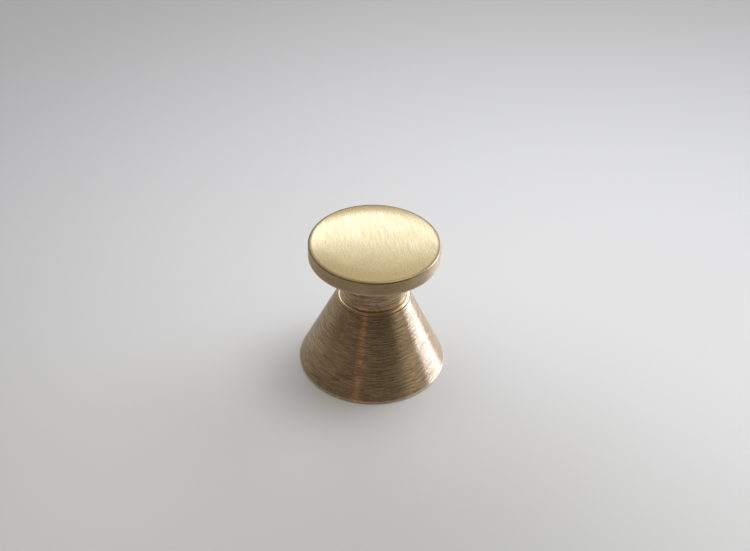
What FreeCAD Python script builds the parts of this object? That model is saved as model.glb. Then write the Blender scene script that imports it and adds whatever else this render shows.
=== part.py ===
import FreeCAD, Part
import math
import os
import Sketcher

# Cabinet knob, turned from one brass bar. A disc head, its face flat in the middle and eased down
# towards the rim, stands on a straight neck. A small bead runs round the neck's foot, and a cone
# widens from it to the base.
# Millimetres, +Z up. The origin is the centre of the flat base, which lies against the door.

SIZES = [
    ("base_diameter", 32.0, "upright land round the base"),
    ("land_height", 0.45, "base to the corner between land and cone"),
    ("base_chamfer", 0.2, "edge break between the land and the flat base"),
    ("cone_height", 17.6, "base to the narrow ledge round the bead"),
    ("ledge_width", 0.08, "narrow flat left outside the bead"),
    ("bead_width", 1.5, "diameter of the bead's round top"),
    ("bead_upright", 0.03, "straight outer side of the bead, under its round top"),
    ("bead_sink", 0.72, "how far the round top runs into the neck"),
    ("neck_diameter", 14.3, "straight neck between bead and head"),
    ("neck_length", 10.2, "ledge to the underside of the head"),
    ("head_diameter", 28.0, "head disc"),
    ("head_thickness", 4.0, "underside to the flat middle of the face"),
    ("face_flat_diameter", 12.0, "flat middle of the face"),
    ("shoulder_radius", 70.0, "broad shallow rounding that eases the face down towards the rim"),
    ("rim_radius", 0.45, "tight rounding between the shoulder and the side of the head"),
    ("under_rim_chamfer", 0.3, "edge break between the side and the underside of the head"),
    ("thread_diameter", 4.0, "nominal size of the fixing screw's thread"),
    ("thread_pitch", 0.7, "pitch of that thread, which sets the tapping drill"),
    ("hole_depth", 14.0, "full-width depth of the drilled hole"),
    ("drill_point_angle", 118.0, "included angle of the hole's conical end"),
    ("countersink_diameter", 5.0, "mouth of the hole"),
    ("countersink_angle", 90.0, "included angle of the countersink"),
]

BEAD_CENTRE_RADIUS = "Sizes.neck_diameter / 2 - Sizes.bead_sink + Sizes.bead_width / 2"
DRILL_DIAMETER = "Sizes.thread_diameter - Sizes.thread_pitch"


def make_sheet(doc):
    """Put every driving size in the sheet, each under its own alias."""
    sheet = doc.addObject("Spreadsheet::Sheet", "Sizes")
    for row, (name, value, note) in enumerate(SIZES, start=1):
        sheet.set(f"A{row}", name)
        sheet.set(f"B{row}", str(value))
        sheet.setAlias(f"B{row}", name)
        sheet.set(f"C{row}", note)
    doc.recompute()
    return sheet


def origin_plane(body, role):
    """Return the body's own origin plane with the given role."""
    for feature in body.Origin.OriginFeatures:
        if feature.Role == role:
            return feature
    raise ValueError(f"no origin plane {role}")


def new_sketch(body, name, role):
    """Start a sketch on one of the body's origin planes."""
    sketch = body.newObject("Sketcher::SketchObject", name)
    sketch.AttachmentSupport = [(origin_plane(body, role), "")]
    sketch.MapMode = "FlatFace"
    return sketch


def bind(sketch, kind, ends, name, value, formula):
    """Add a named dimension to a sketch and tie it to the sheet."""
    index = sketch.addConstraint(Sketcher.Constraint(kind, *ends, value))
    sketch.renameConstraint(index, name)
    sketch.setExpression(f"Constraints.{name}", formula)


def arc_between(centre, radius, start, end):
    """Return the arc about centre that runs anticlockwise from start to end."""
    circle = Part.Circle(centre, FreeCAD.Vector(0, 0, 1), radius)
    return Part.ArcOfCircle(circle, circle.parameter(start), circle.parameter(end))


def profile_points(sheet):
    """Work out where the half outline's corners and arc centres lie, as radius and height."""
    point = FreeCAD.Vector
    at = {"centre": point(0, 0)}
    base_r = sheet.base_diameter / 2
    at["base_corner"] = point(base_r, 0)
    at["land_corner"] = point(base_r, sheet.land_height)

    neck_r = sheet.neck_diameter / 2
    bead_r = sheet.bead_width / 2
    bead_lift = bead_r - sheet.bead_sink
    bead_centre = point(neck_r + bead_lift, sheet.cone_height + sheet.bead_upright)
    bead_side = bead_centre.x + bead_r
    at["ledge_start"] = point(bead_side + sheet.ledge_width, sheet.cone_height)
    at["bead_foot"] = point(bead_side, sheet.cone_height)
    at["bead_start"] = point(bead_side, bead_centre.y)
    at["bead_centre"] = bead_centre
    at["bead_end"] = point(neck_r, bead_centre.y + math.sqrt(bead_r ** 2 - bead_lift ** 2))

    under_z = sheet.cone_height + sheet.neck_length
    head_r = sheet.head_diameter / 2
    at["neck_corner"] = point(neck_r, under_z)
    at["under_corner"] = point(head_r, under_z)
    at["top"] = point(0, under_z + sheet.head_thickness)
    at["face_edge"] = at["top"] + point(sheet.face_flat_diameter / 2, 0)
    at["shoulder_centre"] = at["face_edge"] - point(0, sheet.shoulder_radius)
    reach = sheet.shoulder_radius - sheet.rim_radius
    run = head_r - sheet.rim_radius - at["face_edge"].x
    to_rim = point(run, math.sqrt(reach ** 2 - run ** 2))
    at["rim_centre"] = at["shoulder_centre"] + to_rim
    at["rim_start"] = at["rim_centre"] + point(sheet.rim_radius, 0)
    at["rim_end"] = at["rim_centre"] + to_rim * (sheet.rim_radius / reach)
    return at


def sketch_profile(body, sheet):
    """Draw the half outline of the turned bar, from the base's centre round to the face's centre."""
    at = profile_points(sheet)
    sketch = new_sketch(body, "profile", "XZ_Plane")

    def line(start, end):
        return sketch.addGeometry(Part.LineSegment(at[start], at[end]))

    def arc(centre, radius, start, end):
        return sketch.addGeometry(arc_between(at[centre], radius, at[start], at[end]))

    base = line("centre", "base_corner")
    land = line("base_corner", "land_corner")
    cone = line("land_corner", "ledge_start")
    ledge = line("ledge_start", "bead_foot")
    upright = line("bead_foot", "bead_start")
    bead = arc("bead_centre", sheet.bead_width / 2, "bead_start", "bead_end")
    neck = line("bead_end", "neck_corner")
    underside = line("neck_corner", "under_corner")
    side = line("under_corner", "rim_start")
    rim = arc("rim_centre", sheet.rim_radius, "rim_start", "rim_end")
    shoulder = arc("shoulder_centre", sheet.shoulder_radius, "rim_end", "face_edge")
    face = line("face_edge", "top")
    axis = line("top", "centre")

    outline = [base, land, cone, ledge, upright, bead, neck, underside, side, rim, shoulder, face, axis]
    smooth = {(upright, bead), (side, rim), (rim, shoulder), (shoulder, face)}
    for before, after in zip(outline, outline[1:] + outline[:1]):
        kind = "Tangent" if (before, after) in smooth else "Coincident"
        sketch.addConstraint(Sketcher.Constraint(kind, before, 2, after, 1))
    sketch.addConstraint(Sketcher.Constraint("Coincident", base, 1, -1, 1))
    for level in (base, ledge, underside, face):
        sketch.addConstraint(Sketcher.Constraint("Horizontal", level))
    for plumb in (land, upright, neck, side, axis):
        sketch.addConstraint(Sketcher.Constraint("Vertical", plumb))

    def across(name, geometry, end, value, formula):
        bind(sketch, "DistanceX", (-1, 1, geometry, end), name, value, formula)

    def up(name, first, second, value, formula):
        bind(sketch, "DistanceY", (*first, *second), name, value, formula)

    floor = (-1, 1)
    across("base_radius", land, 1, at["base_corner"].x, "Sizes.base_diameter / 2")
    across("bead_place", bead, 3, at["bead_centre"].x, BEAD_CENTRE_RADIUS)
    across("neck_radius", neck, 1, at["neck_corner"].x, "Sizes.neck_diameter / 2")
    across("head_radius", side, 1, at["under_corner"].x, "Sizes.head_diameter / 2")
    across("face_radius", face, 1, at["face_edge"].x, "Sizes.face_flat_diameter / 2")
    bind(sketch, "DistanceX", (ledge, 2, ledge, 1), "ledge_width", sheet.ledge_width, "Sizes.ledge_width")
    bind(sketch, "Radius", (bead,), "bead_radius", sheet.bead_width / 2, "Sizes.bead_width / 2")
    bind(sketch, "Radius", (rim,), "rim_radius", sheet.rim_radius, "Sizes.rim_radius")
    bind(sketch, "Radius", (shoulder,), "shoulder_radius", sheet.shoulder_radius, "Sizes.shoulder_radius")
    up("land_height", floor, (cone, 1), sheet.land_height, "Sizes.land_height")
    up("ledge_height", floor, (ledge, 1), sheet.cone_height, "Sizes.cone_height")
    up("bead_upright", (upright, 1), (upright, 2), sheet.bead_upright, "Sizes.bead_upright")
    up("neck_length", (ledge, 1), (neck, 2), sheet.neck_length, "Sizes.neck_length")
    up("head_thickness", (underside, 1), (face, 2), sheet.head_thickness, "Sizes.head_thickness")
    return sketch


def turn_bar(body, sketch):
    """Turn the half outline once round the knob's axis."""
    bar = body.newObject("PartDesign::Revolution", "turned_bar")
    bar.Profile = sketch
    bar.ReferenceAxis = (sketch, ["V_Axis"])
    bar.Angle = 360
    sketch.Visibility = False
    return bar


def drill_screw_hole(doc, body, sheet):
    """Cut the blind tapped hole for the fixing screw, with a countersunk mouth, up from the base."""
    sketch = new_sketch(body, "hole_centre", "XY_Plane")
    drill_r = (sheet.thread_diameter - sheet.thread_pitch) / 2
    circle = sketch.addGeometry(Part.Circle(FreeCAD.Vector(0, 0), FreeCAD.Vector(0, 0, 1), drill_r))
    sketch.addConstraint(Sketcher.Constraint("Coincident", circle, 3, -1, 1))
    bind(sketch, "Radius", (circle,), "drill_radius", drill_r, f"({DRILL_DIAMETER}) / 2")
    doc.recompute()
    hole = body.newObject("PartDesign::Hole", "screw_hole")
    hole.Profile = sketch
    hole.Reversed = True
    hole.DepthType = "Dimension"
    hole.DrillPoint = "Angled"
    hole.HoleCutType = "Countersink"
    hole.HoleCutCustomValues = True
    hole.setExpression("Diameter", DRILL_DIAMETER)
    hole.setExpression("Depth", "Sizes.hole_depth")
    hole.setExpression("DrillPointAngle", "Sizes.drill_point_angle")
    hole.setExpression("HoleCutDiameter", "Sizes.countersink_diameter")
    hole.setExpression("HoleCutCountersinkAngle", "Sizes.countersink_angle")
    sketch.Visibility = False
    return hole


def circle_edge(shape, radius, height):
    """Name the circular edge of a turned shape that has this radius and lies at this height."""
    for number, edge in enumerate(shape.Edges, start=1):
        curve = edge.Curve
        if not isinstance(curve, Part.Circle):
            continue
        if abs(curve.Radius - radius) < 1e-6 and abs(curve.Center.z - height) < 1e-6:
            return f"Edge{number}"
    raise ValueError(f"no edge of radius {radius} at height {height}")


def break_edge(doc, body, name, radius, height, size):
    """Chamfer one circular edge of the turned bar by a size from the sheet."""
    doc.recompute()
    bar = body.Tip
    chamfer = body.newObject("PartDesign::Chamfer", name)
    chamfer.Base = (bar, [circle_edge(bar.Shape, radius, height)])
    chamfer.setExpression("Size", f"Sizes.{size}")
    return chamfer


def make_knob(doc, sheet):
    """Build the whole knob as one turned body."""
    body = doc.addObject("PartDesign::Body", "knob")
    body.Label = "knob"
    turn_bar(body, sketch_profile(body, sheet))
    drill_screw_hole(doc, body, sheet)
    break_edge(doc, body, "base_edge", sheet.base_diameter / 2, 0, "base_chamfer")
    under_z = sheet.cone_height + sheet.neck_length
    break_edge(doc, body, "under_rim", sheet.head_diameter / 2, under_z, "under_rim_chamfer")
    body.Placement = FreeCAD.Placement()
    return body


def check(doc, parts):
    """Stop before anything is written if an object failed or a sub-part isn't one sound solid."""
    for item in doc.Objects:
        if "Invalid" in item.State or "Error" in item.State:
            raise RuntimeError(f"{item.Label} failed: {item.State}")
    for part in parts:
        shape = part.Shape
        if shape.isNull() or not shape.isValid() or len(shape.Solids) != 1:
            raise RuntimeError(f"{part.Label} isn't one sound solid")


def main():
    doc = FreeCAD.newDocument("cabinet_knob")
    sheet = make_sheet(doc)
    parts = [make_knob(doc, sheet)]
    doc.recompute()
    check(doc, parts)
    os.makedirs("parts", exist_ok=True)
    for part in parts:
        part.Shape.exportStep(f"parts/{part.Label}.step")


main()
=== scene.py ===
import math

import bpy
from mathutils import Matrix, Vector


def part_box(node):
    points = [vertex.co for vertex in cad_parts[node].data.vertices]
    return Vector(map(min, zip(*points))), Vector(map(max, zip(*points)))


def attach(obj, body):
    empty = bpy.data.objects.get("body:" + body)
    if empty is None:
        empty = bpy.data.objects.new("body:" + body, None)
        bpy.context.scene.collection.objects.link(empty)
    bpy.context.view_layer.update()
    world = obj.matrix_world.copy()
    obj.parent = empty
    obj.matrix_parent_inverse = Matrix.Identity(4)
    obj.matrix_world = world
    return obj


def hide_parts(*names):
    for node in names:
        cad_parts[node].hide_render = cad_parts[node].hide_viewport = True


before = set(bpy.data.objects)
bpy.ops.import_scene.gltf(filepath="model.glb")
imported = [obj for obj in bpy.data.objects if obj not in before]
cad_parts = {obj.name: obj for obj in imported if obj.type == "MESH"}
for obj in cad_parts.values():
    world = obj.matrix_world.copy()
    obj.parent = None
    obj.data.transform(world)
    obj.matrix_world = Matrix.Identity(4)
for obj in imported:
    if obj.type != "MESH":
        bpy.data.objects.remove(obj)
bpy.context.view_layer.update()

# A turned brass cabinet knob that stands on its base: a cone, a small polished bead, a neck
# and a round head with a straight-brushed face. Sizes are in millimetres from the middle of
# the base. The foot's radius and the knob's height come from the solid's own box.
MM = 0.001
KNOB_LOW, KNOB_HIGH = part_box("knob")
FOOT_RADIUS = (KNOB_HIGH.x - KNOB_LOW.x) / 2 / MM
HEIGHT = KNOB_HIGH.z / MM

# The foot and the cone.
FOOT_CHAMFER = 0.2
LAND_HEIGHT = 0.45
CONE_TOP = 17.6

# The ledge, the bead and the neck. The painted shade on the bead changes at two angles of its
# arc, and a painted highlight lightens the neck up to a small height above its foot.
NECK_RADIUS = 7.15
LEDGE_WIDTH = 0.08
BEAD_RADIUS = 0.75
BEAD_UPRIGHT = 0.03
BEAD_SINK = 0.72
BEAD_SHADE_ENDS = (math.radians(12), math.radians(50))
NECK_FOOT_HIGHLIGHT = 0.25
BEAD_OUTSIDE = NECK_RADIUS + 2 * BEAD_RADIUS - BEAD_SINK
BEAD_CENTRE_HEIGHT = CONE_TOP + BEAD_UPRIGHT

# The head: its underside, its side, its rim, and the face's very shallow crown and its shoulder.
HEAD_RADIUS = 14.0
HEAD_THICKNESS = 4.0
UNDER_HEAD = HEIGHT - HEAD_THICKNESS
UNDER_RIM_CHAMFER = 0.3
RIM_RADIUS = 0.45
CROWN_RADIUS = 300.0
CROWN_REACH = 9.5
SHOULDER_RADIUS = 60.0

# The tapped hole for the fixing screw.
MOUTH_RADIUS = 2.5
MINOR_RADIUS = 1.65
MAJOR_RADIUS = 2.0
THREAD_PITCH = 0.7
HOLE_DEPTH = 14.0
POINT_ANGLE = math.radians(118)
RUN_OUT = 2 * THREAD_PITCH
# The thread's form, as shares of half a turn: its crest and its flank. The run-out's start is a
# share of the run-out.
THREAD_CREST = 0.14
THREAD_FLANK = 0.72
RUN_OUT_START = 0.5

# How finely the knob is cut into faces, how far from a corner its wear, painted highlights and
# painted shade reach, and how many times that reach a run has to be to show it. A radius below
# ON_AXIS is on the axis.
STEPS_ROUND = 192
ROWS_PER_PITCH = 9
ARC_STEP = math.radians(8)
SHOULDER_ROWS = 8
CROWN_ROWS = 12
EDGE_MARK_REACH = (0.12, 0.4)
EDGE_MARK_ROOM = 2.5
ON_AXIS = 1e-6

# How the face's brushed lines lean from the knob's front to back.
BRUSH_LEAN = math.radians(9.5)

FINISHES = ("knob_face", "knob_rim", "knob_side", "knob_bead", "knob_cone", "knob_base",
            "knob_bore")


# The turned outline.


def row(r, z, across, rub_and_highlight=0.0, painted_shade_amount=0.0):
    """One row of the outline: its place, the way that it faces, its wear and painted highlight, and
    its painted shade.
    """
    return {"at": (r, z), "facing": across, "rub_and_highlight": rub_and_highlight, "painted_shade_amount": painted_shade_amount}


def straight(start, end, finish, wear_and_highlight=(0.0, 0.0), painted_shade_amount=(0.0, 0.0)):
    """A straight run of the outline, with rows near its ends for the wear, painted highlights and
    painted shade there.
    """
    a, b = Vector(start), Vector(end)
    length = (b - a).length
    way = (b - a) / length
    facing = (way.y, -way.x)
    reach = [0.0] + [d for d in EDGE_MARK_REACH if d < length / EDGE_MARK_ROOM]
    places = sorted({round(d, 6) for d in reach} | {round(length - d, 6) for d in reach})
    rows = []
    for d in places:
        here = a + way * d
        near = [max(0.0, 1 - e / EDGE_MARK_REACH[-1]) ** 2 for e in (d, length - d)]
        rub_and_highlight = max(near[0] * wear_and_highlight[0], near[1] * wear_and_highlight[1])
        dark = max(near[0] * painted_shade_amount[0], near[1] * painted_shade_amount[1])
        rows.append(row(here.x, here.y, facing, rub_and_highlight, dark))
    return {"finish": finish, "rows": rows}


def curve(centre, radius, start, end, finish, rub_and_highlight=0.0, painted_shade_amount=0.0, count=0):
    """An arc of the outline between two angles. It is hollow where the angle falls."""
    turn = end - start
    bulge = 1 if turn > 0 else -1
    count = count or max(2, math.ceil(abs(turn) / ARC_STEP))
    rows = []
    for i in range(count + 1):
        angle = start + turn * i / count
        across = (math.cos(angle), math.sin(angle))
        facing = (bulge * across[0], bulge * across[1])
        here = (centre[0] + radius * across[0], centre[1] + radius * across[1])
        rows.append(row(here[0], here[1], facing, rub_and_highlight, painted_shade_amount))
    return {"finish": finish, "rows": rows}


def corner(r, z, finish, soft=0.0, wear_and_highlight=0.0, painted_shade_amount=0.0):
    """One corner of a path, with the finish of the run after it and the radius that softens it."""
    return {"at": Vector((r, z)), "finish": finish, "soft": soft, "wear_and_highlight": wear_and_highlight, "painted_shade_amount": painted_shade_amount}


def path(corners):
    """Straight runs through corners, with a small arc at each corner that is softened."""
    runs = []
    leave = corners[0]["at"]
    for i in range(1, len(corners)):
        before, here = corners[i - 1], corners[i]
        way_in = (here["at"] - before["at"]).normalized()
        wear_and_highlight, painted_shade_amount = (before["wear_and_highlight"], here["wear_and_highlight"]), (before["painted_shade_amount"], here["painted_shade_amount"])
        if i == len(corners) - 1 or here["soft"] == 0:
            runs.append(straight(leave, here["at"], before["finish"], wear_and_highlight, painted_shade_amount))
            leave = here["at"]
            continue
        way_out = (corners[i + 1]["at"] - here["at"]).normalized()
        half = way_in.angle(way_out) / 2
        back = here["soft"] * math.tan(half)
        arrive = here["at"] - way_in * back
        depart = here["at"] + way_out * back
        runs.append(straight(leave, arrive, before["finish"], wear_and_highlight, painted_shade_amount))
        outward = 1 if way_in.cross(way_out) > 0 else -1
        across = Vector((way_in.y, -way_in.x)) * outward
        centre = arrive - across * here["soft"]
        first = math.atan2(across.y, across.x)
        runs.append(curve(centre, here["soft"], first, first + outward * 2 * half,
                          here["finish"], here["wear_and_highlight"], here["painted_shade_amount"]))
        leave = depart
    return runs


def knob_outline():
    """The outline in runs, from the hole's mouth round the outside to the middle of the face."""
    bead_centre = (BEAD_OUTSIDE - BEAD_RADIUS, BEAD_CENTRE_HEIGHT)
    bead_end = math.pi - math.acos((BEAD_RADIUS - BEAD_SINK) / BEAD_RADIUS)
    bead_foot = BEAD_CENTRE_HEIGHT + BEAD_RADIUS * math.sin(bead_end)
    crown_lean = math.asin(CROWN_REACH / CROWN_RADIUS)
    shoulder_centre = (
        CROWN_REACH - SHOULDER_RADIUS * math.sin(crown_lean),
        HEIGHT - CROWN_RADIUS + (CROWN_RADIUS - SHOULDER_RADIUS) * math.cos(crown_lean))
    rim_r = HEAD_RADIUS - RIM_RADIUS
    lean = math.asin((rim_r - shoulder_centre[0]) / (SHOULDER_RADIUS - RIM_RADIUS))
    rim_z = shoulder_centre[1] + (SHOULDER_RADIUS - RIM_RADIUS) * math.cos(lean)
    below = path([
        corner(MOUTH_RADIUS, 0.0, "knob_base", wear_and_highlight=0.3),
        # A painted highlight lightens the foot's chamfer and land.
        corner(FOOT_RADIUS - FOOT_CHAMFER, 0.0, "knob_base", soft=0.08, wear_and_highlight=0.6),
        corner(FOOT_RADIUS, FOOT_CHAMFER, "knob_cone", soft=0.12, wear_and_highlight=0.9),
        corner(FOOT_RADIUS, LAND_HEIGHT, "knob_cone", soft=0.2, wear_and_highlight=0.9),
        # Painted shade darkens the ledge next to the bead and the bead's upright.
        corner(BEAD_OUTSIDE + LEDGE_WIDTH, CONE_TOP, "knob_cone", soft=0.03, wear_and_highlight=0.2),
        corner(BEAD_OUTSIDE, CONE_TOP, "knob_bead", painted_shade_amount=0.9),
        corner(BEAD_OUTSIDE, BEAD_CENTRE_HEIGHT, "knob_bead", painted_shade_amount=0.9),
    ])
    # Painted shade on the bead, strong at its outer foot and fading up its arc.
    bead = [curve(bead_centre, BEAD_RADIUS, 0.0, BEAD_SHADE_ENDS[0], "knob_bead", painted_shade_amount=0.9),
            curve(bead_centre, BEAD_RADIUS, *BEAD_SHADE_ENDS, "knob_bead", painted_shade_amount=0.3),
            curve(bead_centre, BEAD_RADIUS, BEAD_SHADE_ENDS[1], bead_end, "knob_bead")]
    above = path([
        # A painted highlight lightens the neck's foot, and painted shade darkens the neck under the
        # head.
        corner(NECK_RADIUS, bead_foot, "knob_side", wear_and_highlight=0.9),
        corner(NECK_RADIUS, bead_foot + NECK_FOOT_HIGHLIGHT, "knob_cone", wear_and_highlight=0.6),
        corner(NECK_RADIUS, UNDER_HEAD, "knob_side", soft=0.12, painted_shade_amount=0.6),
        corner(HEAD_RADIUS - UNDER_RIM_CHAMFER, UNDER_HEAD, "knob_side", soft=0.12, wear_and_highlight=0.5),
        corner(HEAD_RADIUS, UNDER_HEAD + UNDER_RIM_CHAMFER, "knob_side", soft=0.2, wear_and_highlight=0.7),
        corner(HEAD_RADIUS, rim_z, "knob_side"),
    ])
    up = math.pi / 2
    # The rim is darkened by a painted dark reflection.
    rim = curve((rim_r, rim_z), RIM_RADIUS, 0.0, up - lean, "knob_rim", painted_shade_amount=0.75)
    shoulder = curve(shoulder_centre, SHOULDER_RADIUS, up - lean, up - crown_lean, "knob_face",
                     count=SHOULDER_ROWS)
    crown = curve((0.0, HEIGHT - CROWN_RADIUS), CROWN_RADIUS, up - crown_lean, up, "knob_face",
                  count=CROWN_ROWS)
    return below + bead + above + [rim, shoulder, crown]


# The tapped hole.


def thread_radius(angle, z):
    """The hole's radius at a place on its wall: the thread, its run-out and the countersink."""
    turn = (z / THREAD_PITCH - angle / (2 * math.pi)) % 1.0
    flank = abs(turn * 2 - 1)
    cut = min(1.0, max(0.0, (flank - THREAD_CREST) / THREAD_FLANK))
    fade = min(1.0, max(0.0, (HOLE_DEPTH - z) / RUN_OUT - RUN_OUT_START))
    wall = MINOR_RADIUS + (MAJOR_RADIUS - MINOR_RADIUS) * cut * fade
    return max(wall, MOUTH_RADIUS - z)


def hole_rows():
    """Rings of the hole from its drilled point down to its mouth, each a list of (radius, z)."""
    count = round(HOLE_DEPTH / THREAD_PITCH * ROWS_PER_PITCH)
    point_depth = HOLE_DEPTH + MINOR_RADIUS / math.tan(POINT_ANGLE / 2)
    rings = [[(0.0, point_depth)]]
    for i in range(count + 1):
        z = HOLE_DEPTH * (1 - i / count)
        rings.append([(thread_radius(2 * math.pi * j / STEPS_ROUND, z), z)
                      for j in range(STEPS_ROUND)])
    return rings


# The knob's mesh.


def place(angle, r, z):
    """A point in metres, from its angle round the axis and its radius and height."""
    return Vector((r * math.cos(angle), r * math.sin(angle), z)) * MM


def turned_knob():
    """The knob as one closed mesh, with its facing, its wear and painted highlights and its painted
    shade from the outline.
    """
    angles = [2 * math.pi * j / STEPS_ROUND for j in range(STEPS_ROUND + 1)]
    points, faces, finishes, facings, marks = [], [], [], [], []
    rub_and_highlight, painted_shade_amount = [], []

    def ring(places, walked, worn_and_highlighted=0.0, dark=0.0):
        """Adds one ring of points, or one point on the axis, so far walked along the outline."""
        start = len(points)
        if len(places) == 1:
            points.append(Vector((0.0, 0.0, places[0][1] * MM)))
        else:
            points.extend(place(a, r, z) for a, (r, z) in zip(angles, places))
        rub_and_highlight.extend([worn_and_highlighted] * len(places))
        painted_shade_amount.extend([dark] * len(places))
        return {"numbers": range(start, len(points)), "walked": walked}

    def strip(lower, upper, finish, lower_facing=None, upper_facing=None):
        """Adds the faces between two rings. The facings are the outline's, or none in the bore."""
        for j in range(STEPS_ROUND):
            corners = [(lower, j, lower_facing), (lower, j + 1, lower_facing),
                       (upper, j + 1, upper_facing), (upper, j, upper_facing)]
            if len(lower["numbers"]) == 1:
                corners.pop(1)
            if len(upper["numbers"]) == 1:
                corners.pop(-2)
            faces.append([at["numbers"][step % len(at["numbers"]) if step < STEPS_ROUND else 0]
                          for at, step, _ in corners])
            finishes.append(FINISHES.index(finish))
            for at, step, facing in corners:
                marks.append((at["walked"] * MM, angles[step] * FOOT_RADIUS * MM))
                if facing is None:
                    facings.append(None)
                else:
                    facings.append((facing[0] * math.cos(angles[step]),
                                    facing[0] * math.sin(angles[step]), facing[1]))

    rings = [ring(places, -places[0][1]) for places in hole_rows()]
    for lower, upper in zip(rings, rings[1:]):
        strip(lower, upper, "knob_bore")
    last = rings[-1]
    walked = 0.0
    for run in knob_outline():
        rows = run["rows"]
        for before, here in zip(rows, rows[1:]):
            walked += math.dist(before["at"], here["at"])
            spots = [here["at"]] if here["at"][0] < ON_AXIS else [here["at"]] * STEPS_ROUND
            following = ring(spots, walked, here["rub_and_highlight"], here["painted_shade_amount"])
            strip(last, following, run["finish"], before["facing"], here["facing"])
            last = following

    mesh = bpy.data.meshes.new("turned_knob")
    mesh.from_pydata(points, [], faces)
    mesh.update()
    mesh.polygons.foreach_set("material_index", finishes)
    mesh.polygons.foreach_set("use_smooth", [True] * len(faces))
    # The first holds wear and painted highlights, the second painted shade and a painted dark
    # reflection.
    for name, values in (("rub_and_painted_highlight", rub_and_highlight), ("painted_shade", painted_shade_amount)):
        mesh.attributes.new(name, "FLOAT", "POINT").data.foreach_set("value", values)
    lean = Vector((math.cos(BRUSH_LEAN), math.sin(BRUSH_LEAN)))
    layer = mesh.uv_layers.new(name="across_the_lines")
    for polygon in mesh.polygons:
        on_face = FINISHES[polygon.material_index] == "knob_face"
        for i in polygon.loop_indices:
            at = points[mesh.loops[i].vertex_index].xy
            layer.data[i].uv = (at.dot(lean), at.cross(lean) * -1) if on_face else marks[i]
    own = [n.vector.copy() for n in mesh.vertex_normals]
    loops = [own[loop.vertex_index] if way is None else Vector(way).normalized()
             for loop, way in zip(mesh.loops, facings)]
    mesh.normals_split_custom_set(loops)
    knob = bpy.data.objects.new("turned_knob", mesh)
    bpy.context.scene.collection.objects.link(knob)
    return knob


# Small helpers for the node trees.


def feed(tree, socket, value):
    """Links a socket to an output, or sets its number or colour."""
    if isinstance(value, bpy.types.NodeSocket):
        tree.links.new(value, socket)
    else:
        socket.default_value = value


def add(tree, kind, inputs=None, **settings):
    """A node with its settings, and its inputs by name or number."""
    made = tree.nodes.new(kind)
    for name, value in settings.items():
        setattr(made, name, value)
    for name, value in (inputs or {}).items():
        feed(tree, made.inputs[name], value)
    return made


def sums(tree, operation, *values, clamp=False):
    """The result of one Math node."""
    made = tree.nodes.new("ShaderNodeMath")
    made.operation = operation
    made.use_clamp = clamp
    for socket, value in zip(made.inputs, values):
        feed(tree, socket, value)
    return made.outputs[0]


def spread(tree, value, low, high, to_low=0.0, to_high=1.0):
    """The value carried smoothly from one range to another."""
    made = add(tree, "ShaderNodeMapRange", {0: value, 1: low, 2: high, 3: to_low, 4: to_high},
               interpolation_type="SMOOTHSTEP")
    return made.outputs[0]


def blend_colours(tree, share, first, second):
    """The first colour carried over to the second by a share from 0 to 1."""
    made = tree.nodes.new("ShaderNodeMix")
    made.data_type = "RGBA"
    made.clamp_factor = True
    feed(tree, made.inputs[0], share)
    feed(tree, made.inputs[6], first)
    feed(tree, made.inputs[7], second)
    return made.outputs[2]


def noise(tree, vector, scale, detail, roughness):
    """A noise value from 0 to 1."""
    made = add(tree, "ShaderNodeTexNoise",
               {"Vector": vector, "Scale": scale, "Detail": detail, "Roughness": roughness})
    return made.outputs[0]


def triple(tree, x, y, z):
    """Three values as one vector."""
    return add(tree, "ShaderNodeCombineXYZ", {0: x, 1: y, 2: z}).outputs[0]


def place_in_mm(tree):
    """The place on the knob as x, y, z and the distance from its axis, in millimetres."""
    where = add(tree, "ShaderNodeTexCoord").outputs["Object"]
    scaled = add(tree, "ShaderNodeVectorMath", {0: where, 3: 1 / MM}, operation="SCALE").outputs[0]
    parts = add(tree, "ShaderNodeSeparateXYZ", {0: scaled}).outputs
    level = triple(tree, parts[0], parts[1], 0.0)
    radius = add(tree, "ShaderNodeVectorMath", {0: level}, operation="LENGTH").outputs["Value"]
    return scaled, parts[0], parts[1], parts[2], radius


def new_group(name, inputs, outputs):
    """An empty node group with named inputs and outputs, and its two end nodes."""
    tree = bpy.data.node_groups.new(name, "ShaderNodeTree")
    for title, value in inputs.items():
        kind = "NodeSocketColor" if isinstance(value, tuple) else "NodeSocketFloat"
        tree.interface.new_socket(title, in_out="INPUT", socket_type=kind).default_value = value
    for title in outputs:
        kind = "NodeSocketColor" if title.endswith("Colour") else "NodeSocketFloat"
        tree.interface.new_socket(title, in_out="OUTPUT", socket_type=kind)
    return tree, tree.nodes.new("NodeGroupInput"), tree.nodes.new("NodeGroupOutput")


def use_group(tree, group, **values):
    """A group placed in a material, with its own values. Spaces in names are written as _."""
    made = tree.nodes.new("ShaderNodeGroup")
    made.node_tree = group
    for name, value in values.items():
        feed(tree, made.inputs[name.replace("_", " ")], value)
    return made.outputs


# Effects that the knob's finishes share.

# The finer streaks: how many times finer they are, and their share. Then the range of the noise
# that goes from a dark line to a light one.
FINER = 2.9
FINER_SHARE = 0.38
LINE_RANGE = (0.28, 0.72)

# The nicks: the least share of their size, the share of a nick that is fully dark, the share of
# places that stay clean, how much a nick darkens, and how many lines deep it is.
NICK_LEAST = 0.35
NICK_CORE = 0.55
NICK_CLEAN = 0.45
NICK_DARK = 0.75
NICK_DEPTH = 3.0

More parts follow.
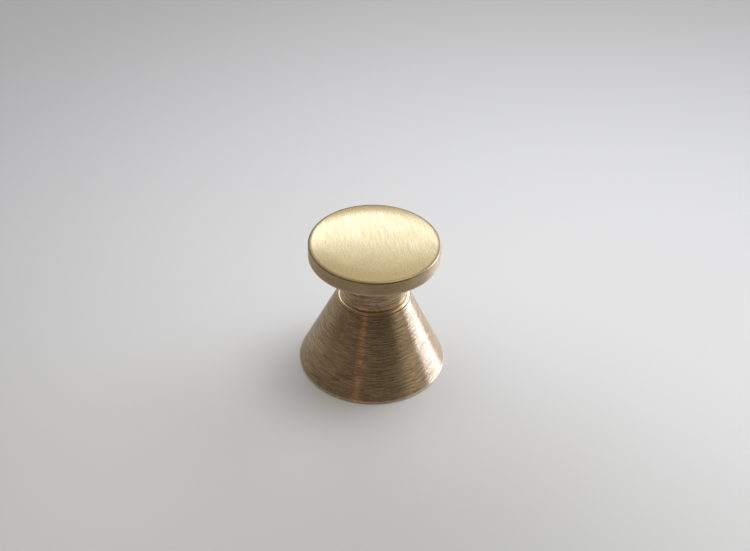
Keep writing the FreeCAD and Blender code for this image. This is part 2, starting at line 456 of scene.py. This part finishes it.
# The brass's slow clouds and its fine grit, in steps a millimetre, and the range of each that
# counts. Then the colour of its rubbed edges and painted highlights, the colour of its nicks and
# painted shade, the least share of the rubbing and highlights and of the painted shade where the
# grit thins it, and how much rougher the nicks and painted shade are.
CLOUD_SCALE = 0.16
GRIT_SCALE = 2.2
GRIT_RANGE = (0.3, 0.7)
RUB_AND_HIGHLIGHT_COLOUR = (0.86, 0.72, 0.47, 1.0)
NICK_AND_SHADE_COLOUR = (0.10, 0.058, 0.028, 1.0)
LEAST_RUB_AND_HIGHLIGHT = 0.35
LEAST_PAINTED_SHADE = 0.85
NICK_AND_SHADE_ROUGHNESS = 0.25


def streaks(tree, x, y, z, length, spacing):
    """Long thin streaks: slow along x and y, and quick along z, with a finer set between them."""
    coarse = triple(tree, sums(tree, "DIVIDE", x, length), sums(tree, "DIVIDE", y, length),
                    sums(tree, "DIVIDE", z, spacing))
    broad = noise(tree, coarse, scale=1.0, detail=2.0, roughness=0.6)
    fine = noise(tree, coarse, scale=FINER, detail=1.0, roughness=0.5)
    both = sums(tree, "ADD", sums(tree, "MULTIPLY", broad, 1 - FINER_SHARE),
                sums(tree, "MULTIPLY", fine, FINER_SHARE))
    return spread(tree, both, *LINE_RANGE)


def turning_lines_group():
    """The fine lines that a turning tool and abrasive leave round the axis."""
    tree, given, result = new_group("turning lines", {"Spacing": 0.3, "Length": 6.0}, ["Lines"])
    _, x, y, z, radius = place_in_mm(tree)
    along = sums(tree, "SUBTRACT", z, radius)
    lines = streaks(tree, x, y, along, given.outputs["Length"], given.outputs["Spacing"])
    feed(tree, result.inputs["Lines"], lines)
    return tree


def straight_brushing_group():
    """The straight scratches of a brushed flat, at an angle from the knob's front to back."""
    inputs = {"Lean": 0.0, "Spacing": 0.2, "Length": 5.0}
    tree, given, result = new_group("straight brushing", inputs, ["Lines"])
    _, x, y, _, _ = place_in_mm(tree)
    cosine = sums(tree, "COSINE", given.outputs["Lean"])
    sine = sums(tree, "SINE", given.outputs["Lean"])
    across = sums(tree, "ADD", sums(tree, "MULTIPLY", x, cosine),
                  sums(tree, "MULTIPLY", y, sine))
    along = sums(tree, "SUBTRACT", sums(tree, "MULTIPLY", y, cosine),
                 sums(tree, "MULTIPLY", x, sine))
    lines = streaks(tree, along, 0.0, across, given.outputs["Length"], given.outputs["Spacing"])
    feed(tree, result.inputs["Lines"], lines)
    return tree


def nicks_group():
    """Sparse small pits and specks."""
    tree, given, result = new_group("nicks", {"Spacing": 3.0, "Size": 0.07}, ["Nicks"])
    scaled = place_in_mm(tree)[0]
    cells = add(tree, "ShaderNodeTexVoronoi", {"Vector": scaled, "Randomness": 1.0}, feature="F1")
    feed(tree, cells.inputs["Scale"], sums(tree, "DIVIDE", 1.0, given.outputs["Spacing"]))
    pick = add(tree, "ShaderNodeSeparateColor", {0: cells.outputs["Color"]}).outputs[0]
    reach = sums(tree, "MULTIPLY", cells.outputs["Distance"], given.outputs["Spacing"])
    wide = sums(tree, "MULTIPLY", given.outputs["Size"], sums(tree, "ADD", pick, NICK_LEAST))
    dot = spread(tree, reach, sums(tree, "MULTIPLY", wide, NICK_CORE), wide, 1.0, 0.0)
    kept = sums(tree, "GREATER_THAN", pick, NICK_CLEAN)
    feed(tree, result.inputs["Nicks"], sums(tree, "MULTIPLY", dot, kept))
    return tree


def aged_brass_group():
    """The brass's colour and roughness, from its lines, mottling, nicks, rubbed edges, painted
    highlights and painted shade.
    """
    inputs = {"Bright": (0.7, 0.6, 0.4, 1.0), "Deep": (0.5, 0.4, 0.2, 1.0), "Lines": 0.5,
              "Contrast": 0.6, "Mottling": 0.5, "Nicks": 0.0,
              "Base Roughness": 0.35, "Roughness Spread": 0.1}
    tree, given, result = new_group("aged brass", inputs, ["Brass Colour", "Roughness"])
    got = given.outputs
    scaled = place_in_mm(tree)[0]
    cloud = spread(tree, noise(tree, scaled, CLOUD_SCALE, detail=3.0, roughness=0.6),
                   *GRIT_RANGE, -0.5, 0.5)
    grit = noise(tree, scaled, GRIT_SCALE, detail=3.0, roughness=0.6)
    centred = sums(tree, "SUBTRACT", got["Lines"], 0.5)
    tone = sums(tree, "ADD", sums(tree, "MULTIPLY", centred, got["Contrast"]),
                sums(tree, "MULTIPLY", cloud, got["Mottling"]))
    share = sums(tree, "ADD", tone, 0.5, clamp=True)
    colour = blend_colours(tree, share, got["Deep"], got["Bright"])
    # Wear and painted highlights lighten the brass where the mesh marks them.
    worn_and_highlighted = add(tree, "ShaderNodeAttribute", attribute_name="rub_and_painted_highlight").outputs["Fac"]
    rubbed_and_highlighted = sums(tree, "MULTIPLY", worn_and_highlighted, spread(tree, grit, *GRIT_RANGE, LEAST_RUB_AND_HIGHLIGHT, 1.0),
                  clamp=True)
    colour = blend_colours(tree, rubbed_and_highlighted, colour, RUB_AND_HIGHLIGHT_COLOUR)
    # Painted shade darkens the brass where the mesh marks it, and so do the nicks.
    dark = add(tree, "ShaderNodeAttribute", attribute_name="painted_shade").outputs["Fac"]
    painted_shading = sums(tree, "MULTIPLY", dark, spread(tree, grit, *GRIT_RANGE, LEAST_PAINTED_SHADE, 1.0),
                 clamp=True)
    marked = sums(tree, "MAXIMUM", painted_shading, sums(tree, "MULTIPLY", got["Nicks"], NICK_DARK))
    colour = blend_colours(tree, marked, colour, NICK_AND_SHADE_COLOUR)
    feed(tree, result.inputs["Brass Colour"], colour)
    smoother = sums(tree, "MULTIPLY", got["Roughness Spread"], -1.0)
    rough = sums(tree, "ADD", got["Base Roughness"], sums(tree, "MULTIPLY", centred, smoother))
    rough = sums(tree, "ADD", rough, sums(tree, "MULTIPLY", marked, NICK_AND_SHADE_ROUGHNESS), clamp=True)
    feed(tree, result.inputs["Roughness"], rough)
    return tree


# The knob's finishes.

# Light and dark brass for each, and the spacing and size of the nicks in millimetres.
FACE_BRIGHT, FACE_DEEP = (0.82, 0.67, 0.36, 1.0), (0.60, 0.49, 0.25, 1.0)
HEAD_BRIGHT, HEAD_DEEP = (0.50, 0.385, 0.24, 1.0), (0.34, 0.245, 0.14, 1.0)
CONE_BRIGHT, CONE_DEEP = (0.47, 0.35, 0.214, 1.0), (0.245, 0.168, 0.093, 1.0)
BEAD_BRIGHT, BEAD_DEEP = (0.80, 0.63, 0.39, 1.0), (0.64, 0.47, 0.25, 1.0)
BORE_BRIGHT, BORE_DEEP = (0.60, 0.47, 0.27, 1.0), (0.42, 0.31, 0.17, 1.0)
PLAIN_NICKS = (3.0, 0.07)
FACE_NICKS = (8.0, 0.06)
POLISHED_NICKS = (4.0, 0.04)


def brass_finish(name, groups, lines, bright, deep, contrast, mottling, rough, spread_of_rough,
                 along, relief, nicks=PLAIN_NICKS):
    """One finish of the brass, with relief in millimetres. Its lines stretch the shine by along."""
    made = bpy.data.materials.new(name)
    made.use_nodes = True
    tree = made.node_tree
    surface = tree.nodes["Principled BSDF"]
    specks = use_group(tree, groups["nicks"], Spacing=nicks[0], Size=nicks[1])["Nicks"]
    brass = use_group(tree, groups["brass"], Bright=bright, Deep=deep, Lines=lines(tree),
                      Contrast=contrast, Mottling=mottling, Nicks=specks, Base_Roughness=rough,
                      Roughness_Spread=spread_of_rough)
    tree.links.new(brass["Brass Colour"], surface.inputs["Base Color"])
    tree.links.new(brass["Roughness"], surface.inputs["Roughness"])
    surface.inputs["Metallic"].default_value = 1.0
    surface.inputs["Anisotropic"].default_value = along
    tangent = add(tree, "ShaderNodeTangent", direction_type="UV_MAP", uv_map="across_the_lines")
    tree.links.new(tangent.outputs[0], surface.inputs["Tangent"])
    cut = sums(tree, "SUBTRACT", lines(tree), sums(tree, "MULTIPLY", specks, NICK_DEPTH))
    bump = add(tree, "ShaderNodeBump", {"Height": cut, "Strength": 1.0, "Distance": relief * MM})
    tree.links.new(bump.outputs[0], surface.inputs["Normal"])
    return made


def knob_finishes():
    """The materials of the knob, in the order of FINISHES."""
    groups = {"turning": turning_lines_group(), "brushing": straight_brushing_group(),
              "nicks": nicks_group(), "brass": aged_brass_group()}

    def turned(spacing, length):
        return lambda tree: use_group(
            tree, groups["turning"], Spacing=spacing, Length=length)["Lines"]

    def brushed(spacing, length):
        return lambda tree: use_group(
            tree, groups["brushing"], Lean=BRUSH_LEAN, Spacing=spacing, Length=length)["Lines"]

    return [
        brass_finish("knob face", groups, brushed(spacing=0.2, length=6.0), FACE_BRIGHT, FACE_DEEP,
                     contrast=1.1, mottling=0.2, rough=0.24, spread_of_rough=0.12,
                     along=0.88, relief=0.006, nicks=FACE_NICKS),
        brass_finish("knob rim", groups, turned(spacing=0.2, length=8.0), FACE_BRIGHT, FACE_DEEP,
                     contrast=0.3, mottling=0.2, rough=0.19, spread_of_rough=0.05,
                     along=0.3, relief=0.0004, nicks=POLISHED_NICKS),
        brass_finish("knob side", groups, turned(spacing=0.18, length=6.0), HEAD_BRIGHT, HEAD_DEEP,
                     contrast=0.8, mottling=0.35, rough=0.42, spread_of_rough=0.1,
                     along=0.8, relief=0.006),
        brass_finish("knob bead", groups, turned(spacing=0.2, length=8.0), BEAD_BRIGHT, BEAD_DEEP,
                     contrast=0.3, mottling=0.2, rough=0.17, spread_of_rough=0.05,
                     along=0.3, relief=0.0004, nicks=POLISHED_NICKS),
        brass_finish("knob cone", groups, turned(spacing=0.27, length=3.8), CONE_BRIGHT, CONE_DEEP,
                     contrast=2.1, mottling=0.4, rough=0.285, spread_of_rough=0.1,
                     along=1.0, relief=0.013),
        brass_finish("knob base", groups, turned(spacing=0.3, length=20.0), CONE_BRIGHT, CONE_DEEP,
                     contrast=0.8, mottling=0.3, rough=0.34, spread_of_rough=0.1,
                     along=0.7, relief=0.006),
        brass_finish("knob bore", groups, turned(spacing=0.1, length=3.0), BORE_BRIGHT, BORE_DEEP,
                     contrast=0.4, mottling=0.3, rough=0.32, spread_of_rough=0.1,
                     along=0.3, relief=0.001),
    ]


# The table, the shade on the photographer's side, the room's light and the camera.

# The table: half its size, the middles of its lit part and of the part that the photographer
# shades, how far from each its tone changes, all in metres, its tones, and how dark the shade is.
TABLE_HALF = 6.0
LIT_MIDDLE = (0.06, 0.01, 0.0)
LIT_REACH = (0.02, 0.25)
SHADED_MIDDLE = (0.015, -0.07, 0.0)
SHADED_REACH = (0.0, 0.1)
SHADE_DARK = 0.28
TABLE_LIT = (0.81, 0.82, 0.81, 1.0)
TABLE_FAR = (0.36, 0.362, 0.35, 1.0)
BLACK = (0.0, 0.0, 0.0, 1.0)

# The screen: how far off and how tall it is in metres, where it starts and ends round the knob
# and where it is warmer, in degrees, and its colours.
SCREEN_FAR = 0.42
SCREEN_TALL = 0.36
SCREEN_FROM, SCREEN_TO, SCREEN_STEPS = 199, 310, 111
WARM_STRIP = (247.5, 254)
DARK_SCREEN = (0.135, 0.1, 0.069, 1.0)
WARM_SCREEN = (0.62, 0.34, 0.22, 1.0)


def table_top():
    """The pale table, deeper in tone away from its lit middle and in the photographer's shade."""
    half = TABLE_HALF
    mesh = bpy.data.meshes.new("table_top")
    mesh.from_pydata([(-half, -half, 0), (half, -half, 0), (half, half, 0), (-half, half, 0)],
                     [], [(0, 1, 2, 3)])
    top = bpy.data.objects.new("table_top", mesh)
    bpy.context.scene.collection.objects.link(top)
    made = bpy.data.materials.new("pale table")
    made.use_nodes = True
    tree = made.node_tree
    where = add(tree, "ShaderNodeTexCoord").outputs["Object"]
    away, near = [
        add(tree, "ShaderNodeVectorMath", {0: where, 1: spot}, operation="DISTANCE").outputs[1]
        for spot in (LIT_MIDDLE, SHADED_MIDDLE)]
    surface = tree.nodes["Principled BSDF"]
    tone = blend_colours(tree, spread(tree, away, *LIT_REACH), TABLE_LIT, TABLE_FAR)
    tone = blend_colours(tree, spread(tree, near, *SHADED_REACH, SHADE_DARK, 0.0), tone, BLACK)
    feed(tree, surface.inputs["Base Color"], tone)
    surface.inputs["Roughness"].default_value = 0.3
    surface.inputs["Specular IOR Level"].default_value = 0.5
    mesh.materials.append(made)


def shade_screen():
    """A dark curved screen with a warm strip, which the metal shows and the camera doesn't."""
    points, faces, warm = [], [], []
    for i in range(SCREEN_STEPS + 1):
        turn = SCREEN_FROM + (SCREEN_TO - SCREEN_FROM) * i / SCREEN_STEPS
        angle = math.radians(turn)
        points += [(SCREEN_FAR * math.cos(angle), SCREEN_FAR * math.sin(angle), z)
                   for z in (0.0, SCREEN_TALL)]
        if i:
            faces.append((2 * i - 2, 2 * i, 2 * i + 1, 2 * i - 1))
            warm.append(1 if WARM_STRIP[0] < turn < WARM_STRIP[1] else 0)
    mesh = bpy.data.meshes.new("shade_screen")
    mesh.from_pydata(points, [], faces)
    mesh.polygons.foreach_set("material_index", warm)
    screen = bpy.data.objects.new("shade_screen", mesh)
    bpy.context.scene.collection.objects.link(screen)
    screen.visible_camera = False
    for name, colour in (("dark screen", DARK_SCREEN), ("warm strip", WARM_SCREEN)):
        made = bpy.data.materials.new(name)
        made.use_nodes = True
        surface = made.node_tree.nodes["Principled BSDF"]
        surface.inputs["Base Color"].default_value = colour
        surface.inputs["Roughness"].default_value = 1.0
        surface.inputs["Specular IOR Level"].default_value = 0.0
        mesh.materials.append(made)


# The room's plain light, on the photographer's side and at the back, and where it turns from
# the one to the other, from -1 in front to 1 at the back. Then how it dims low down: between
# these two heights in degrees, down to this share.
ROOM_NEAR = (0.14, 0.12, 0.1)
ROOM_BACK = (0.53, 0.495, 0.425)
ROOM_TURN = (-0.35, 0.45)
ROOM_DIM = (6, 26, 0.5)
# Each window: its middle and half width round the room, how soft its sides are, its lowest and
# highest edge, how soft each of these is, all in degrees, and its light's colour.
WINDOWS = {
    "right, near": (12, 8, 4, 0, 9, 3, 4, (11.5, 13.5, 20.0)),
    "right, low": (28, 8, 3, 0, 9, 3, 4, (23.0, 27.0, 40.0)),
    "right, far": (55, 17, 6, 0, 14, 3, 4, (5.0, 5.2, 6.0)),
    "right, high": (32, 28, 8, 12, 44, 6, 8, (1.3, 1.3, 1.4)),
    "back": (96, 62, 10, 29.2, 35.8, 2, 3.5, (1.75, 2.0, 2.9)),
    "right, front": (-16, 14, 12, 0, 34, 4, 8, (0.8, 0.77, 0.7)),
    "right, overhead": (38, 42, 12, 58, 78, 6, 6, (3.2, 3.1, 2.9)),
    "left, high": (180, 50, 20, 35, 60, 10, 10, (0.3, 0.3, 0.3)),
    "overhead": (0, 360, 1, 54, 100, 8, 1, (0.5, 0.51, 0.5)),
}


def room_light():
    """Plain soft light all round that dims low down, with the windows and their glow added."""
    world = bpy.data.worlds.new("room")
    bpy.context.scene.world = world
    world.use_nodes = True
    tree = world.node_tree
    seen = add(tree, "ShaderNodeTexCoord").outputs["Generated"]
    way = add(tree, "ShaderNodeSeparateXYZ", {0: seen}).outputs
    round_room = sums(tree, "DEGREES", sums(tree, "ARCTAN2", way[1], way[0]))
    height = sums(tree, "DEGREES", sums(tree, "ARCSINE", way[2]))
    light = blend_colours(tree, spread(tree, way[1], *ROOM_TURN), (*ROOM_NEAR, 1.0),
                          (*ROOM_BACK, 1.0))
    low_down = spread(tree, height, ROOM_DIM[0], ROOM_DIM[1], ROOM_DIM[2], 1.0)
    light = add(tree, "ShaderNodeVectorMath", {0: light, 3: low_down}, operation="SCALE").outputs[0]
    for middle, half, side_soft, low, high, low_soft, high_soft, colour in WINDOWS.values():
        turned = sums(tree, "SUBTRACT", round_room, float(middle))
        off = sums(tree, "ABSOLUTE", sums(tree, "WRAP", turned, 180.0, -180.0))
        wide = spread(tree, off, half - side_soft, half + side_soft, 1.0, 0.0)
        above = spread(tree, height, low - low_soft, low + low_soft)
        under = spread(tree, height, high - high_soft, high + high_soft, 1.0, 0.0)
        shown = sums(tree, "MULTIPLY", sums(tree, "MULTIPLY", wide, above), under)
        glow = add(tree, "ShaderNodeVectorMath", {0: colour, 3: shown}, operation="SCALE")
        light = add(tree, "ShaderNodeVectorMath", {0: light, 1: glow.outputs[0]},
                    operation="ADD").outputs[0]
    feed(tree, tree.nodes["Background"].inputs["Color"], light)


# The camera, where the photograph was taken from: its drop and roll, and its lens and sensor in
# millimetres.
CAMERA_PLACE = Vector((0.26, -229.8, 201.0)) * MM
CAMERA_DROP = math.radians(37.83)
CAMERA_ROLL = math.radians(1.62)
CAMERA_LENS = 65.47
CAMERA_SENSOR = 36.0


def photograph_camera():
    """The camera that looks at the knob as the photograph does."""
    data = bpy.data.cameras.new("camera")
    data.sensor_width = CAMERA_SENSOR
    data.lens = CAMERA_LENS
    camera = bpy.data.objects.new("camera", data)
    bpy.context.scene.collection.objects.link(camera)
    turn = (Matrix.Rotation(math.pi / 2 - CAMERA_DROP, 4, "X")
            @ Matrix.Rotation(CAMERA_ROLL, 4, "Z"))
    camera.matrix_world = Matrix.Translation(CAMERA_PLACE) @ turn
    data.clip_start, data.clip_end = 0.01, 50.0
    bpy.context.scene.camera = camera


knob = turned_knob()
for finish in knob_finishes():
    knob.data.materials.append(finish)
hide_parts("knob")
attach(knob, "root")
table_top()
shade_screen()
room_light()
photograph_camera()
bpy.context.scene.view_settings.view_transform = "Standard"
